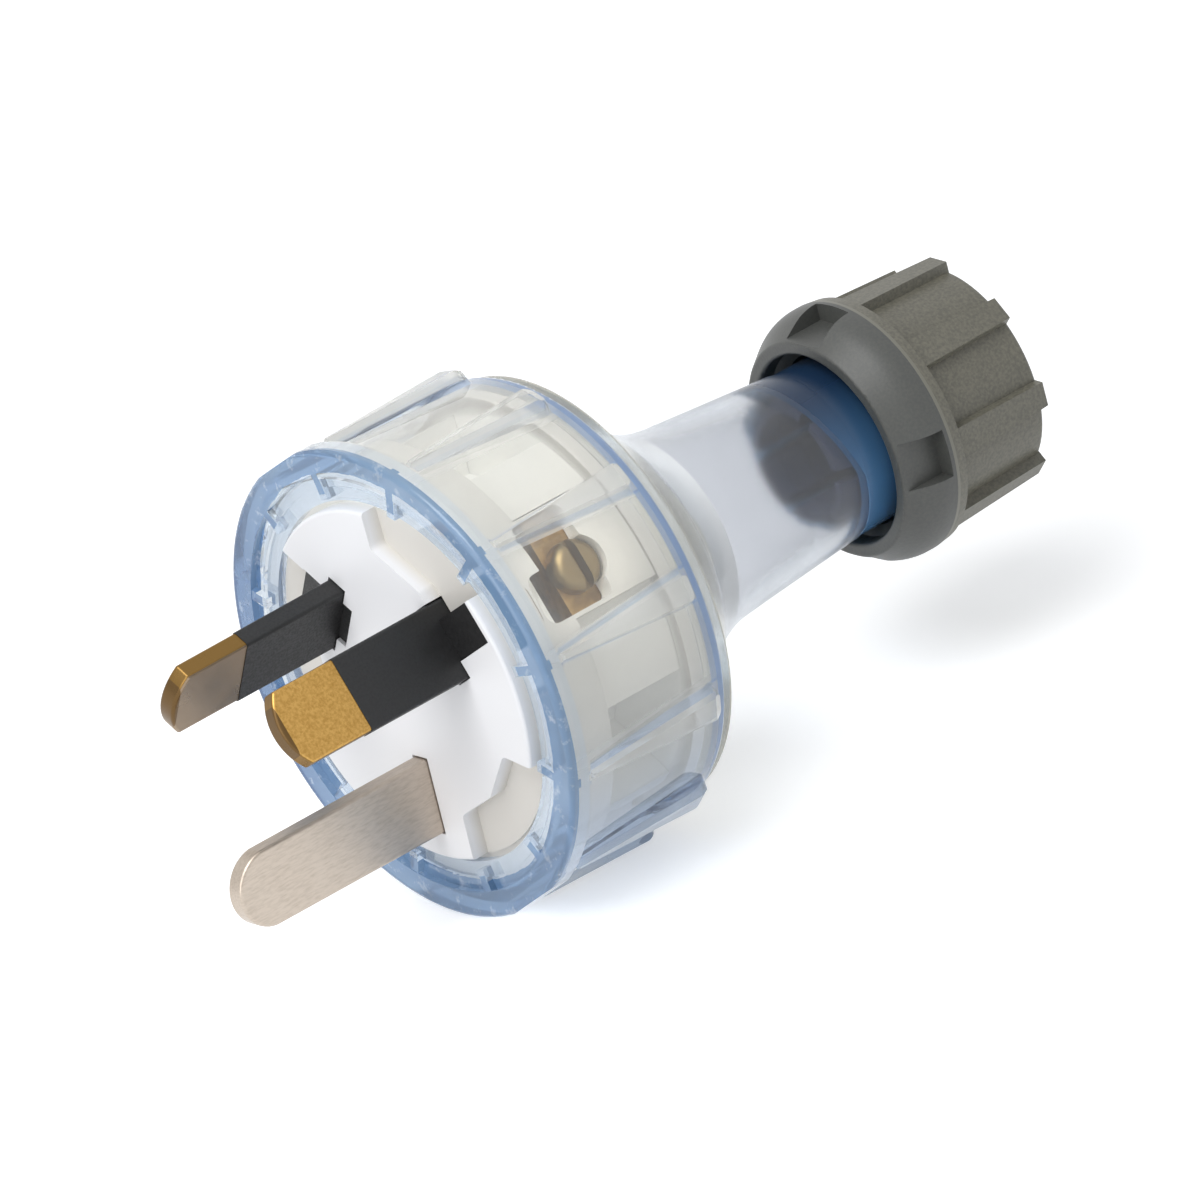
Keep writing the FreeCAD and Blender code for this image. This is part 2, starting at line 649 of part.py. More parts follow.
def make_pin(name, angle, live):
    body = new_body(name + "_pin", angle)
    if live:
        sketch = new_sketch(body, "blade_outline", "YZ_Plane", height="Sizes.live_pin_offset")
        middle = "0"
        reach = "Sizes.live_pin_reach"
        tip_radius = "Sizes.live_tip_radius"
        tang_right = "Sizes.tang_width / 2"
    else:
        sketch = new_sketch(body, "blade_outline", "XZ_Plane")
        middle = "Sizes.earth_pin_offset"
        reach = "Sizes.earth_pin_reach"
        tip_radius = "Sizes.earth_tip_radius"
        tang_right = EARTH_TANG_OUTER
    left = middle + " - Sizes.pin_width / 2"
    right = middle + " + Sizes.pin_width / 2"
    tang_left = tang_right + " - Sizes.tang_width"
    tang_end = "-Sizes.pin_shoulder - Sizes.tang_depth"
    tip_start = "%s - %s + sqrt(%s ^ 2 - (Sizes.pin_width / 2) ^ 2)" % (reach, tip_radius, tip_radius)
    add_outline(sketch, (
        (left, "-Sizes.pin_shoulder"),
        (tang_left, "-Sizes.pin_shoulder"),
        (tang_left, tang_end),
        (tang_right, tang_end),
        (tang_right, "-Sizes.pin_shoulder"),
        (right, "-Sizes.pin_shoulder"),
        (right, tip_start),
        (left, tip_start),
    ), bulge=(6, tip_radius))
    pad(body, "blade", sketch, "Sizes.pin_thickness", both_ways=True)
    exposed = 0
    if live:
        sketch = new_sketch(body, "waist_outline", "XY_Plane", height="Sizes.sleeve_reach")
        half_width = "(Sizes.pin_width / 2 + Sizes.sleeve_proud - Sizes.sleeve_wall)"
        half_thickness = "(Sizes.pin_thickness / 2 + Sizes.sleeve_proud - Sizes.sleeve_wall)"
        add_box(sketch, "Sizes.live_pin_offset - Sizes.pin_thickness",
                "Sizes.live_pin_offset + Sizes.pin_thickness", "-Sizes.pin_width", "Sizes.pin_width")
        add_box(sketch, "Sizes.live_pin_offset - " + half_thickness,
                "Sizes.live_pin_offset + " + half_thickness, "-" + half_width, half_width)
        pocket(body, "waist", sketch, "Sizes.sleeve_reach + Sizes.sleeve_root")
        exposed = sheet.sleeve_reach
    round_edges(body, "worn_edges", "Sizes.pin_edge_radius",
                lambda edge: edge.BoundBox.ZMax > exposed + sheet.fit)
    return body


def make_sleeve(name, angle):
    body = new_body(name + "_sleeve", angle)
    sketch = new_sketch(body, "tube_outline", "XY_Plane", height="Sizes.sleeve_reach")
    half_width = "(Sizes.pin_width / 2 + Sizes.sleeve_proud)"
    half_thickness = "(Sizes.pin_thickness / 2 + Sizes.sleeve_proud)"
    core = "(Sizes.sleeve_wall - Sizes.seat_gap)"
    low = "Sizes.live_pin_offset - " + half_thickness
    high = "Sizes.live_pin_offset + " + half_thickness
    add_outline(sketch, (
        (low, "-" + half_width, "Sizes.pin_edge_radius"),
        (high, "-" + half_width, "Sizes.pin_edge_radius"),
        (high, half_width, "Sizes.pin_edge_radius"),
        (low, half_width, "Sizes.pin_edge_radius"),
    ))
    add_box(sketch, low + " + " + core, high + " - " + core,
            "-%s + %s" % (half_width, core), "%s - %s" % (half_width, core))
    pad(body, "tube", sketch, "Sizes.sleeve_reach + Sizes.sleeve_root", backwards=True)
    sketch = new_sketch(body, "outer_foot_outline", "XY_Plane", height="-Sizes.foot_drop")
    add_box(sketch, high + " - Sizes.seat_gap", foot_end(name),
            "-Sizes.outer_foot_width / 2", "Sizes.outer_foot_width / 2")
    pad(body, "outer_foot", sketch, "Sizes.foot_depth - Sizes.foot_drop", backwards=True)
    sketch = new_sketch(body, "inner_foot_outline", "XY_Plane", height="-Sizes.foot_drop")
    add_box(sketch, "Sizes.inner_foot_end", low + " + Sizes.seat_gap",
            "-Sizes.inner_foot_width / 2", "Sizes.inner_foot_width / 2")
    pad(body, "inner_foot", sketch, "Sizes.foot_depth - Sizes.foot_drop", backwards=True)
    return body


# Terminals with their screws


def make_terminal(name, angle, live):
    body = new_body(name + "_terminal", angle)
    sketch = new_sketch(body, "block_outline", "XY_Plane", height="-Sizes.terminal_front")
    add_outline(sketch, (
        ("Sizes.terminal_inner", "-Sizes.terminal_low", "Sizes.terminal_corner"),
        (TERMINAL_OUTER, "-Sizes.terminal_low", "Sizes.terminal_corner"),
        (TERMINAL_OUTER, "Sizes.terminal_high", "Sizes.terminal_corner"),
        ("Sizes.terminal_inner", "Sizes.terminal_high", "Sizes.terminal_corner"),
    ))
    pad(body, "block", sketch, "Sizes.terminal_length", backwards=True)
    sketch = new_sketch(body, "tang_outline", "XY_Plane", height="-Sizes.terminal_front")
    half_width = "(Sizes.tang_width / 2 + Sizes.seat_gap)"
    half_thickness = "(Sizes.pin_thickness / 2 + Sizes.seat_gap)"
    if live:
        add_box(sketch, "Sizes.live_pin_offset - " + half_thickness,
                "Sizes.live_pin_offset + " + half_thickness, "-" + half_width, half_width)
    else:
        add_box(sketch, EARTH_TANG_OUTER + " - Sizes.tang_width - Sizes.seat_gap",
                EARTH_TANG_OUTER + " + Sizes.seat_gap", "-" + half_thickness, half_thickness)
    pocket(body, "tang_slot", sketch,
           "Sizes.pin_shoulder + Sizes.tang_depth - Sizes.terminal_front + Sizes.seat_gap")
    block_rear = "Sizes.terminal_front + Sizes.terminal_length"
    sketch = new_sketch(body, "wire_outline", "XY_Plane",
                        height="-(%s) + Sizes.wire_bore_depth" % block_rear)
    add_circle(sketch, "Sizes.wire_bore / 2", across=WIRE_BORE_OFFSET)
    pocket(body, "wire_bore", sketch, "Sizes.wire_bore_depth + Sizes.fit")
    sketch = new_sketch(body, "screw_outline", "YZ_Plane", height=TERMINAL_OUTER)
    add_circle(sketch, "Sizes.screw_shank / 2 + Sizes.seat_gap", along="-Sizes.screw_line")
    pocket(body, "screw_hole", sketch, "Sizes.wire_bore_inset")
    return body


def make_screw(name, angle):
    body = new_body(name + "_screw", angle)
    sketch = new_sketch(body, "head_outline", "YZ_Plane", height=TERMINAL_OUTER)
    add_circle(sketch, "Sizes.screw_head / 2", along="-Sizes.screw_line")
    head = pad(body, "head", sketch, "Sizes.screw_head_height")
    top = head.Shape.BoundBox.XMax
    round_edges(body, "head_corner", "Sizes.screw_corner",
                lambda edge: edge.BoundBox.XMin > top - sheet.seat_gap)
    sketch = new_sketch(body, "shank_outline", "YZ_Plane",
                        height=TERMINAL_OUTER + " - Sizes.screw_reach")
    add_circle(sketch, "Sizes.screw_shank / 2", along="-Sizes.screw_line")
    pad(body, "shank", sketch, "Sizes.screw_reach + Sizes.seat_gap")
    sketch = new_sketch(body, "slot_outline", "YZ_Plane",
                        height=TERMINAL_OUTER + " + Sizes.screw_head_height")
    add_box(sketch, "-Sizes.screw_head", "Sizes.screw_head",
            "-Sizes.screw_line - Sizes.slot_width / 2", "-Sizes.screw_line + Sizes.slot_width / 2")
    pocket(body, "slot", sketch, "Sizes.slot_depth")
    return body


# Grey cord gland


def make_collet():
    body = new_body("grip_collet")
    outer = "Sizes.throat_radius - Sizes.running_gap"
    inner = "Sizes.collet_bore"
    collar_front = "-Sizes.neck_end - Sizes.forward_travel - Sizes.running_gap"
    collar_rear = "-Sizes.nut_rear + Sizes.nut_cap + Sizes.running_gap"
    turned(body, "sleeve", (
        (inner, "-Sizes.collet_front"),
        (outer + " - Sizes.collet_nose", "-Sizes.collet_front"),
        (outer, "-Sizes.collet_front - 2 * Sizes.collet_nose"),
        (outer, collar_front),
        ("Sizes.thread_radius", collar_front),
        ("Sizes.thread_radius", collar_rear),
        (inner, collar_rear),
    ))
    sketch = new_sketch(body, "gap_outline", "XY_Plane", height="-Sizes.collet_front")
    add_box(sketch, "0", "Sizes.throat_radius", "-Sizes.finger_gap / 2", "Sizes.finger_gap / 2")
    gap = pocket(body, "gap", sketch, "Sizes.finger_length")
    repeat(body, "gaps", [gap], "Sizes.finger_count", sketch)
    first = "-Sizes.collet_front - Sizes.grip_pitch"
    ring = turned(body, "grip_ring", (
        (inner + " - Sizes.grip_depth", first + " - Sizes.grip_depth"),
        (inner + " - Sizes.grip_depth", first + " + Sizes.grip_depth"),
        (inner + " + Sizes.grip_depth", first),
    ), cut=True)
    rings = body.newObject("PartDesign::LinearPattern", "grip_rings")
    rings.Originals = [ring]
    rings.Direction = (ring.Profile[0], ["V_Axis"])
    rings.Reversed = True
    rings.setExpression("Length", "Sizes.grip_pitch * (Sizes.grip_count - 1)")
    rings.setExpression("Occurrences", "Sizes.grip_count")
    body.Tip = rings
    doc.recompute()
    return body


def make_nut():
    body = new_body("gland_nut")
    bore = "Sizes.thread_radius + Sizes.running_gap"
    turned(body, "shell", (
        ("Sizes.nut_mouth_radius", "-Sizes.nut_front", "Sizes.nut_lip_corner"),
        ("Sizes.nut_lip_radius", "-Sizes.nut_front", "Sizes.nut_lip_corner"),
        ("Sizes.nut_bell_radius", "-Sizes.nut_front - Sizes.bell_lead", "Sizes.bell_corner"),
        ("Sizes.nut_bell_radius", "-Sizes.bell_edge"),
        ("Sizes.nut_bell_radius - Sizes.bell_taper", "-Sizes.bell_rear"),
        ("Sizes.barrel_front_radius", "-Sizes.bell_rear - Sizes.bell_step"),
        ("Sizes.barrel_rear_radius", "-Sizes.nut_rear", "Sizes.nut_corner"),
        ("Sizes.cord_hole_radius", "-Sizes.nut_rear"),
        ("Sizes.cord_hole_radius", "-Sizes.nut_rear + Sizes.nut_cap"),
        (bore, "-Sizes.nut_rear + Sizes.nut_cap"),
        (bore, "-Sizes.nut_thread_start"),
        ("Sizes.nut_mouth_radius", "-Sizes.nut_thread_start + Sizes.mouth_lead"),
    ))
    sketch = new_sketch(body, "notch_outline", "YZ_Plane", height="Sizes.nut_lip_radius")
    add_box(sketch, "-Sizes.notch_width / 2", "Sizes.notch_width / 2",
            "-Sizes.notch_end", "-Sizes.nut_front + Sizes.fit")
    notch = pocket(body, "notch", sketch, "Sizes.nut_bell_radius - Sizes.nut_lip_radius + Sizes.fit",
                   outwards=True)
    repeat(body, "notches", [notch], "Sizes.notch_count", body.getObject("shell_outline"), "V_Axis")
    rib = make_nut_rib(body)
    repeat(body, "ribs", [rib], "Sizes.nut_rib_count", body.getObject("shell_outline"), "V_Axis")
    return body


def make_nut_rib(body):
    # A rib of the barrel gets lower and narrower from the bell to the rear corner.
    front = new_sketch(body, "rib_front", "XY_Plane", height="-Sizes.bell_rear + Sizes.bell_step")
    add_box(front, "Sizes.nut_mouth_radius", "Sizes.nut_rib_front",
            "-Sizes.nut_rib_front_width / 2", "Sizes.nut_rib_front_width / 2")
    rear = new_sketch(body, "rib_rear", "XY_Plane", height="-Sizes.nut_rear + Sizes.fit")
    add_box(rear, "Sizes.nut_mouth_radius", "Sizes.nut_rib_rear",
            "-Sizes.nut_rib_rear_width / 2", "Sizes.nut_rib_rear_width / 2")
    rib = body.newObject("PartDesign::AdditiveLoft", "rib")
    rib.Profile = front
    rib.Sections = [rear]
    rib.Ruled = True
    body.Tip = rib
    doc.recompute()
    return rib


# Assembly


def make_plug():
    bodies = [make_drum(), make_neck(), make_base(), make_cover()]
    for name, angle in PIN_ANGLES:
        live = (name, angle) in LIVE_ANGLES
        bodies.append(make_pin(name, angle, live))
        bodies.append(make_terminal(name, angle, live))
        bodies.append(make_screw(name, angle))
        if live:
            bodies.append(make_sleeve(name, angle))
    bodies.append(make_collet())
    bodies.append(make_nut())
    return bodies


def write_steps(bodies):
    doc.recompute()
    for item in doc.Objects:
        if "Invalid" in item.State or "Error" in item.State:
            raise RuntimeError(item.Name + " did not recompute: " + str(item.State))
    for body in bodies:
        if body.Shape.isNull() or not body.Shape.isValid() or len(body.Shape.Solids) != 1:
            raise RuntimeError(body.Label + " is not one valid solid")
    os.makedirs("parts", exist_ok=True)
    for body in bodies:
        body.Shape.exportStep("parts/" + body.Label + ".step")


write_steps(make_plug())
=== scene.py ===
import bpy
import math
from mathutils import Matrix, Vector


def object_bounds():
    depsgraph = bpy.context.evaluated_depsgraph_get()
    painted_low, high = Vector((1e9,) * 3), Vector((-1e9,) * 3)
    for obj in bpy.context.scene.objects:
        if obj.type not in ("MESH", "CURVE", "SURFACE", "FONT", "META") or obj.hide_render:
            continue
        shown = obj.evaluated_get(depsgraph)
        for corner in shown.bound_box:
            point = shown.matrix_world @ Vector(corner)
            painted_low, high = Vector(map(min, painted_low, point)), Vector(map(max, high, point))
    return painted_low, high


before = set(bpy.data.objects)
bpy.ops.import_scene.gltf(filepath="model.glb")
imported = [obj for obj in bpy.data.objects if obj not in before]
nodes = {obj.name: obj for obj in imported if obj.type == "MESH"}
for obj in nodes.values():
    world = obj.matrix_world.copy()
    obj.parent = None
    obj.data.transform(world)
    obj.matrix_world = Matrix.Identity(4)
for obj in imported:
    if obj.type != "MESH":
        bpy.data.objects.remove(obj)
cad_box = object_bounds()
MM = 0.001
bpy.ops.object.select_all(action="DESELECT")


# Studio: a long lens, at the photograph's angle, looks down on the plug from the side of its
# pins. The picture is as wide as VIEW_WIDTH, and AIM is the point in its middle.
VIEW_WIDTH = 92.47 * MM
AIM = Vector((-13.97, 8.69, 2.58)) * MM
CAMERA_RIGHT = Vector((-0.74683, 0.62570, -0.22527))
CAMERA_UP = Vector((-0.41465, -0.17330, 0.89333))
CAMERA_DISTANCE = 1.2

lens = bpy.data.cameras.new("camera")
lens.type = "ORTHO"
lens.ortho_scale = VIEW_WIDTH
lens.clip_end = 10
camera = bpy.data.objects.new("camera", lens)
bpy.context.scene.collection.objects.link(camera)
towards_camera = CAMERA_RIGHT.cross(CAMERA_UP).normalized()
camera.matrix_world = Matrix.Translation(AIM + towards_camera * CAMERA_DISTANCE) @ Matrix(
    (CAMERA_RIGHT, CAMERA_UP, towards_camera)).transposed().to_4x4()
bpy.context.scene.camera = camera
bpy.context.scene.view_settings.view_transform = "Standard"

# Light crosses many clear walls here, so it may bounce more often than usual.
CLEAR_BOUNCES = 40
bpy.context.scene.cycles.max_bounces = CLEAR_BOUNCES
bpy.context.scene.cycles.transmission_bounces = CLEAR_BOUNCES
bpy.context.scene.cycles.transparent_max_bounces = CLEAR_BOUNCES


def linear(hex_colour):
    channels = [int(hex_colour[start:start + 2], 16) / 255 for start in (1, 3, 5)]
    return [c / 12.92 if c <= 0.04045 else ((c + 0.055) / 1.055) ** 2.4 for c in channels] + [1]


def add(tree, kind, inputs=None, **settings):
    # One node, with its settings; an input is a plain value or another node's output.
    node = tree.nodes.new(kind)
    for name, value in settings.items():
        setattr(node, name, value)
    for name, value in (inputs or {}).items():
        if isinstance(value, bpy.types.NodeSocket):
            tree.links.new(value, node.inputs[name])
        else:
            node.inputs[name].default_value = value
    return node


def seen_directly(tree):
    # 1 for a ray from the camera, off a gloss or through clear plastic, and 0 for any other.
    path = add(tree, "ShaderNodeLightPath")
    seen = add(tree, "ShaderNodeMath", {0: path.outputs["Is Camera Ray"],
                                        1: path.outputs["Is Glossy Ray"]},
               operation="MAXIMUM")
    seen = add(tree, "ShaderNodeMath", {0: seen.outputs[0], 1: path.outputs["Is Transmission Ray"]},
               operation="MAXIMUM")
    return seen.outputs[0]


# The world is an even pale light. What the camera sees of it, and what metal and clear plastic
# show of it, is a white backdrop.
WORLD_COLOUR = "#e9edf2"
WORLD_STRENGTH = 0.5
world = bpy.data.worlds.new("pale_studio")
world.use_nodes = True
tree = world.node_tree
tree.nodes.clear()
seen = seen_directly(tree)
pale = add(tree, "ShaderNodeBackground", {"Color": linear(WORLD_COLOUR),
                                          "Strength": WORLD_STRENGTH})
white = add(tree, "ShaderNodeBackground", {"Color": (1, 1, 1, 1), "Strength": 1.0})
mixed = add(tree, "ShaderNodeMixShader", {0: seen, 1: pale.outputs[0], 2: white.outputs[0]})
add(tree, "ShaderNodeOutputWorld", {"Surface": mixed.outputs[0]})
bpy.context.scene.world = world


# Two soft boxes: a wide one high on the left gives the form, a low one lights the pins.
def soft_box(name, place, size, watts):
    light = bpy.data.lights.new(name, "AREA")
    light.shape = "SQUARE"
    light.size = size
    light.energy = watts
    box = bpy.data.objects.new(name, light)
    bpy.context.scene.collection.objects.link(box)
    box.location = place
    box.rotation_euler = (AIM - Vector(place)).to_track_quat("-Z", "Y").to_euler()


soft_box("key_light", place=(0.26, 0.10, 0.60), size=0.45, watts=2.3)
soft_box("side_light", place=(0.60, 0.10, 0.22), size=0.4, watts=1.0)

# The floor is white paper. It lies just under the drum's lowest point and keeps the plug's shadow.
# A faint glow of its own brings it up to the white of the backdrop.
FLOOR_SIZE = 3.0
FLOOR_GAP = 0.02 * MM
FLOOR_COLOUR = "#fafafa"
FLOOR_GLOW = 0.45
bpy.ops.mesh.primitive_grid_add(x_subdivisions=4, y_subdivisions=4, size=FLOOR_SIZE,
                                location=(0, 0, cad_box[0][2] - FLOOR_GAP))
floor = bpy.context.object
floor.name = "floor"
paper = bpy.data.materials.new("white_paper_floor")
paper.use_nodes = True
tree = paper.node_tree
tree.nodes.clear()
seen = seen_directly(tree)
sheet = add(tree, "ShaderNodeBsdfDiffuse", {"Color": linear(FLOOR_COLOUR)})
lift = add(tree, "ShaderNodeEmission", {"Color": (1, 1, 1, 1), "Strength": FLOOR_GLOW})
lifted = add(tree, "ShaderNodeAddShader", {0: sheet.outputs[0], 1: lift.outputs[0]})
mixed = add(tree, "ShaderNodeMixShader", {0: seen, 1: sheet.outputs[0], 2: lifted.outputs[0]})
add(tree, "ShaderNodeOutputMaterial", {"Surface": mixed.outputs[0]})
floor.data.materials.append(paper)


# White base: the moulding that holds the three pins, and the cover behind it. Both are injection
# moulded in white PBT. The tool's spark texture softens the gloss, and the sunk places are painted
# a little creamier and darker, as shade in the recesses.
BASE_WHITE = "#f3f3f5"
BASE_RECESS_SHADE = "#dedad3"
BASE_SIDE_SHADE = "#d3d0ca"
BASE_LOW_LIGHT = "#e8eaf0"
BASE_WELL_LIGHT = "#fbfaf6"
RECESS_TOP = -0.4 * MM
RECESS_FLOOR = -1.4 * MM
SIDE_FRONT = -2.6 * MM
JOINT_GREY = "#9a968e"
JOINT_PLACE = -14.4 * MM
JOINT_HALF = 0.12 * MM
WELL_RADIUS = 15.8 * MM
SIDE_RADIUS = 16.8 * MM
SIDE_HIGH = 2.0 * MM
SIDE_LOW = -12.0 * MM
SPARK_GRIT = 0.25 * MM
SPARK_HEIGHT = 0.02 * MM


def finish(name):
    # A new material with one Principled shader; its name says what the surface is.
    material = bpy.data.materials.new(name)
    material.use_nodes = True
    tree = material.node_tree
    tree.nodes.clear()
    shader = add(tree, "ShaderNodeBsdfPrincipled")
    add(tree, "ShaderNodeOutputMaterial", {"Surface": shader.outputs[0]})
    return material, tree, shader


def wear(node, material):
    nodes[node].data.materials.clear()
    nodes[node].data.materials.append(material)


def from_axis(tree, place):
    # A point's coordinates, the part of them that lies across the plug's axis, and its length.
    axis = add(tree, "ShaderNodeSeparateXYZ", {0: place})
    across = add(tree, "ShaderNodeCombineXYZ", {"Y": axis.outputs["Y"], "Z": axis.outputs["Z"]})
    radius = add(tree, "ShaderNodeVectorMath", {0: across.outputs[0]}, operation="LENGTH")
    return axis, across, radius.outputs["Value"]


# PBT: opaque and satin. The real grit is finer, and is drawn this coarse so that it shows.
white_pbt, tree, shader = finish("moulded_white_pbt")
place = add(tree, "ShaderNodeTexCoord").outputs["Object"]
grit = add(tree, "ShaderNodeTexNoise", {"Vector": place, "Scale": 1 / SPARK_GRIT, "Detail": 3})
axis, across, radius = from_axis(tree, place)
# The sunk places get a painted shade: creamier and darker.
recess_shade = add(tree, "ShaderNodeMapRange", {"Value": axis.outputs["X"], "From Min": RECESS_FLOOR,
                                         "From Max": RECESS_TOP})
colour = add(tree, "ShaderNodeMix", {"Factor": recess_shade.outputs[0], 6: linear(BASE_RECESS_SHADE),
                                     7: linear(BASE_WHITE)}, data_type="RGBA")
# Behind the face, the open wells are painted paler, as light that lifts the shade in them. The side
# wall is painted darker, as shade, and cooler and paler towards the bottom, as bluish light through
# the drum's ring. A thin dark line on the wall is the joint between the base and its cover.
outer = add(tree, "ShaderNodeMapRange", {"Value": radius, "From Min": WELL_RADIUS,
                                         "From Max": SIDE_RADIUS})
painted_low = add(tree, "ShaderNodeMapRange", {"Value": axis.outputs["Z"], "From Min": SIDE_HIGH,
                                       "From Max": SIDE_LOW})
painted_wall = add(tree, "ShaderNodeMix", {"Factor": painted_low.outputs[0], 6: linear(BASE_SIDE_SHADE),
                                   7: linear(BASE_LOW_LIGHT)}, data_type="RGBA")
side = add(tree, "ShaderNodeMix", {"Factor": outer.outputs[0], 6: linear(BASE_WELL_LIGHT),
                                   7: painted_wall.outputs[2]}, data_type="RGBA")
behind = add(tree, "ShaderNodeMath", {0: axis.outputs["X"], 1: SIDE_FRONT}, operation="LESS_THAN")
colour = add(tree, "ShaderNodeMix", {"Factor": behind.outputs[0], 6: colour.outputs[2],
                                     7: side.outputs[2]}, data_type="RGBA")
joint = add(tree, "ShaderNodeMath", {0: axis.outputs["X"], 1: JOINT_PLACE, 2: JOINT_HALF},
            operation="COMPARE")
joint = add(tree, "ShaderNodeMath", {0: joint.outputs[0], 1: outer.outputs[0]},
            operation="MULTIPLY")
colour = add(tree, "ShaderNodeMix", {"Factor": joint.outputs[0], 6: colour.outputs[2],
                                     7: linear(JOINT_GREY)}, data_type="RGBA")
bump = add(tree, "ShaderNodeBump", {"Height": grit.outputs[0], "Strength": 0.12,
                                    "Distance": SPARK_HEIGHT})
tree.links.new(colour.outputs[2], shader.inputs["Base Color"])
tree.links.new(bump.outputs[0], shader.inputs["Normal"])
shader.inputs["Roughness"].default_value = 0.5
shader.inputs["IOR"].default_value = 1.5
wear("pin_base", white_pbt)
wear("terminal_cover", white_pbt)


# Pins: stamped from brass strip. The two live pins are left bare, so they are golden with a fine
# grain from the strip. Their rims and tips are painted browner and darker, as shade, and their
# inner faces greyer, as a painted reflection. The earth pin is nickel plated.
BRASS_FACE = "#c9a05c"
BRASS_DARK = "#af8747"
BRASS_INNER_REFLECTION = "#93816d"
BRASS_RIM_SHADE = "#85683b"
BRASS_TIP_SHADE = "#6a5335"
STRIP_GRAIN = 0.25 * MM
GRAIN_HEIGHT = 0.03 * MM
TARNISH_PATCH = 3.0 * MM
TIP_BAND = 0.5 * MM
LIVE_REACH = 17.06 * MM
LIVE_BEARING = math.radians(30)
LIVE_DISTANCE = 7.92 * MM
PATTERN_RISE = 0.9 * MM
RIM_HALF = 0.7 * MM

# Brass: warm, and dulled in patches. Its grain is drawn coarser than the real one, so that it
# shows.
bare_brass, tree, shader = finish("stamped_bare_brass")
place = add(tree, "ShaderNodeTexCoord").outputs["Object"]
grain = add(tree, "ShaderNodeTexNoise", {"Vector": place, "Scale": 1 / STRIP_GRAIN, "Detail": 4,
                                         "Roughness": 0.6})
cloud = add(tree, "ShaderNodeTexNoise", {"Vector": place, "Scale": 1 / TARNISH_PATCH, "Detail": 2})
tone = add(tree, "ShaderNodeMapRange", {"Value": grain.outputs[0], "From Min": 0.35,
                                        "From Max": 0.62})
face = add(tree, "ShaderNodeMix", {"Factor": tone.outputs[0], 6: linear(BRASS_DARK),
                                   7: linear(BRASS_FACE)}, data_type="RGBA")
axis = add(tree, "ShaderNodeSeparateXYZ", {0: place})
# How far a point lies outwards from the middle plane of its pin: the two pins mirror each other.
side = add(tree, "ShaderNodeMath", {0: axis.outputs["Y"]}, operation="ABSOLUTE")
side = add(tree, "ShaderNodeMath", {0: side.outputs[0], 1: math.cos(LIVE_BEARING),
                                    2: -LIVE_DISTANCE}, operation="MULTIPLY_ADD")
raised = add(tree, "ShaderNodeMath", {0: axis.outputs["Z"], 1: PATTERN_RISE}, operation="SUBTRACT")
outwards = add(tree, "ShaderNodeMath", {0: raised.outputs[0], 1: math.sin(LIVE_BEARING),
                                        2: side.outputs[0]}, operation="MULTIPLY_ADD")
# Painted reflection on the inner faces; painted shade on the rims and tips.
painted_inner = add(tree, "ShaderNodeMath", {0: outwards.outputs[0], 1: -RIM_HALF},
            operation="LESS_THAN")
painted_rim = add(tree, "ShaderNodeMath", {0: outwards.outputs[0], 1: 0, 2: RIM_HALF},
          operation="COMPARE")
painted_tip = add(tree, "ShaderNodeMath", {0: axis.outputs["X"], 1: LIVE_REACH - TIP_BAND},
          operation="GREATER_THAN")
colour = add(tree, "ShaderNodeMix", {"Factor": painted_inner.outputs[0], 6: face.outputs[2],
                                     7: linear(BRASS_INNER_REFLECTION)}, data_type="RGBA")
colour = add(tree, "ShaderNodeMix", {"Factor": painted_rim.outputs[0], 6: colour.outputs[2],
                                     7: linear(BRASS_RIM_SHADE)}, data_type="RGBA")
colour = add(tree, "ShaderNodeMix", {"Factor": painted_tip.outputs[0], 6: colour.outputs[2],
                                     7: linear(BRASS_TIP_SHADE)}, data_type="RGBA")
rough = add(tree, "ShaderNodeMapRange", {"Value": cloud.outputs[0], "From Min": 0.3,
                                         "From Max": 0.7, "To Min": 0.25, "To Max": 0.4})
bump = add(tree, "ShaderNodeBump", {"Height": grain.outputs[0], "Strength": 0.25,
                                    "Distance": GRAIN_HEIGHT})
tree.links.new(colour.outputs[2], shader.inputs["Base Color"])
tree.links.new(rough.outputs[0], shader.inputs["Roughness"])
tree.links.new(bump.outputs[0], shader.inputs["Normal"])
shader.inputs["Metallic"].default_value = 1
wear("active_pin", bare_brass)
wear("neutral_pin", bare_brass)

# Nickel over brass: pale and warm, brushed along the pin, which draws its highlights out.
NICKEL_FACE = "#c3b7aa"
NICKEL_DARK = "#b5a99c"
BRUSH_LENGTH = 0.8 * MM
BRUSH_WIDTH = 0.15 * MM
BRUSH_HEIGHT = 0.02 * MM
nickel, tree, shader = finish("brushed_nickel_plate")
place = add(tree, "ShaderNodeTexCoord").outputs["Object"]
along = add(tree, "ShaderNodeMapping", {
    "Vector": place, "Scale": (1 / BRUSH_LENGTH, 1 / BRUSH_WIDTH, 1 / BRUSH_WIDTH)})
brush = add(tree, "ShaderNodeTexNoise", {"Vector": along.outputs[0], "Scale": 1.0, "Detail": 3})
tone = add(tree, "ShaderNodeMapRange", {"Value": brush.outputs[0], "From Min": 0.3,
                                        "From Max": 0.6})
colour = add(tree, "ShaderNodeMix", {"Factor": tone.outputs[0], 6: linear(NICKEL_DARK),
                                     7: linear(NICKEL_FACE)}, data_type="RGBA")
bump = add(tree, "ShaderNodeBump", {"Height": brush.outputs[0], "Strength": 0.2,
                                    "Distance": BRUSH_HEIGHT})
tree.links.new(colour.outputs[2], shader.inputs["Base Color"])
tree.links.new(bump.outputs[0], shader.inputs["Normal"])
shader.inputs["Metallic"].default_value = 1
shader.inputs["Roughness"].default_value = 0.36
wear("earth_pin", nickel)


